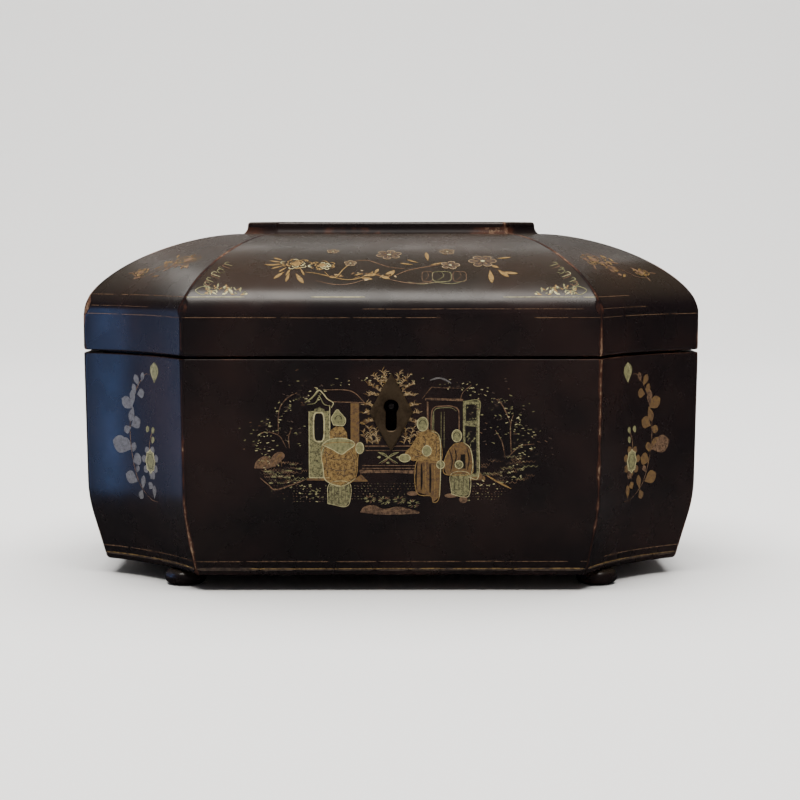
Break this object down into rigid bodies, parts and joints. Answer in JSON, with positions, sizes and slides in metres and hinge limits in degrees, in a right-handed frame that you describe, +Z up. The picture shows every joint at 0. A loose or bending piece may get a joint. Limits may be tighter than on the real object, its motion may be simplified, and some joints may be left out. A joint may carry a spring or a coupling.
{
  "type": "tea caddy",
  "caption": "Lacquered wooden tea caddy with hollow corners, domed lid with a plinth, bun feet, box lock and pewter canisters inside.",
  "frame": {"origin": "on the surface that the feet stand on, at the middle of the plan", "axes": "+X to the right along the front, +Y to the back, +Z up; the keyhole faces -Y"},
  "size_m": [0.232, 0.1752, 0.134],
  "materials": {
    "lacquer": "polished black-brown lacquer with gilt painting and worn edges",
    "inner_lacquer": "thin dark red-brown lacquer",
    "bronze": "dark patinated brass",
    "brass": "dull aged brass",
    "steel": "dull dark steel",
    "pewter": "dull grey pewter with soft wear"
  },
  "bodies": {
    "case": {"front_board": "lacquer", "back_board": "lacquer", "left_board": "lacquer", "right_board": "lacquer", "front_left_corner_board": "lacquer", "front_right_corner_board": "lacquer", "back_left_corner_board": "lacquer", "back_right_corner_board": "lacquer", "bottom_board": "inner_lacquer", "rim_lining": "inner_lacquer", "partition": "inner_lacquer", "front_left_foot": "lacquer", "front_right_foot": "lacquer", "back_left_foot": "lacquer", "back_right_foot": "lacquer", "escutcheon": "bronze", "lock_plate": "brass", "lock_cap": "brass", "lock_drill_pin": "steel", "lock_spring": "steel", "lock_screws": "brass", "hinge_case_leaves": "brass", "hinge_pins": "steel", "hinge_case_screws": "brass"},
    "lid": {"lid_front_rail": "lacquer", "lid_back_rail": "lacquer", "lid_left_rail": "lacquer", "lid_right_rail": "lacquer", "lid_front_left_corner_rail": "lacquer", "lid_front_right_corner_rail": "lacquer", "lid_back_left_corner_rail": "lacquer", "lid_back_right_corner_rail": "lacquer", "lid_front_slope": "lacquer", "lid_back_slope": "lacquer", "lid_left_slope": "lacquer", "lid_right_slope": "lacquer", "lid_front_left_corner_slope": "lacquer", "lid_front_right_corner_slope": "lacquer", "lid_back_left_corner_slope": "lacquer", "lid_back_right_corner_slope": "lacquer", "lid_ceiling_board": "inner_lacquer", "plinth_moulding": "lacquer", "plinth_panel": "lacquer", "strike_plate": "brass", "strike_screws": "brass", "hinge_lid_leaves": "brass", "hinge_lid_screws": "brass"},
    "lock_bolt": {"lock_bolt": "steel"},
    "left_canister": {"left_canister_body": "pewter", "left_canister_base": "pewter", "left_canister_neck": "pewter"},
    "left_cap": {"left_canister_cap": "pewter"},
    "left_cover": {"left_canister_cover": "pewter"},
    "right_canister": {"right_canister_body": "pewter", "right_canister_base": "pewter", "right_canister_neck": "pewter"},
    "right_cap": {"right_canister_cap": "pewter"},
    "right_cover": {"right_canister_cover": "pewter"}
  },
  "joints": [
    {"name": "lid_hinge", "type": "hinge", "parent": "case", "child": "lid", "pos_m": [0, 0.0866, 0.0853], "axis": [-1, 0, 0], "range_deg": [0, 100]},
    {"name": "lock_bolt_slide", "type": "slide", "parent": "case", "child": "lock_bolt", "axis": [1, 0, 0], "range_m": [0, 0.004]},
    {"name": "left_canister_lift", "type": "slide", "parent": "case", "child": "left_canister", "axis": [0, 0, 1], "range_m": [0, 0.008]},
    {"name": "left_cap_lift", "type": "slide", "parent": "left_canister", "child": "left_cap", "axis": [0, 0, 1], "range_m": [0, 0.01]},
    {"name": "left_cover_lift", "type": "slide", "parent": "left_canister", "child": "left_cover", "axis": [0, 0, 1], "range_m": [0, 0.0045]},
    {"name": "right_canister_lift", "type": "slide", "parent": "case", "child": "right_canister", "axis": [0, 0, 1], "range_m": [0, 0.008]},
    {"name": "right_cap_lift", "type": "slide", "parent": "right_canister", "child": "right_cap", "axis": [0, 0, 1], "range_m": [0, 0.01]},
    {"name": "right_cover_lift", "type": "slide", "parent": "right_canister", "child": "right_cover", "axis": [0, 0, 1], "range_m": [0, 0.0045]}
  ]
}
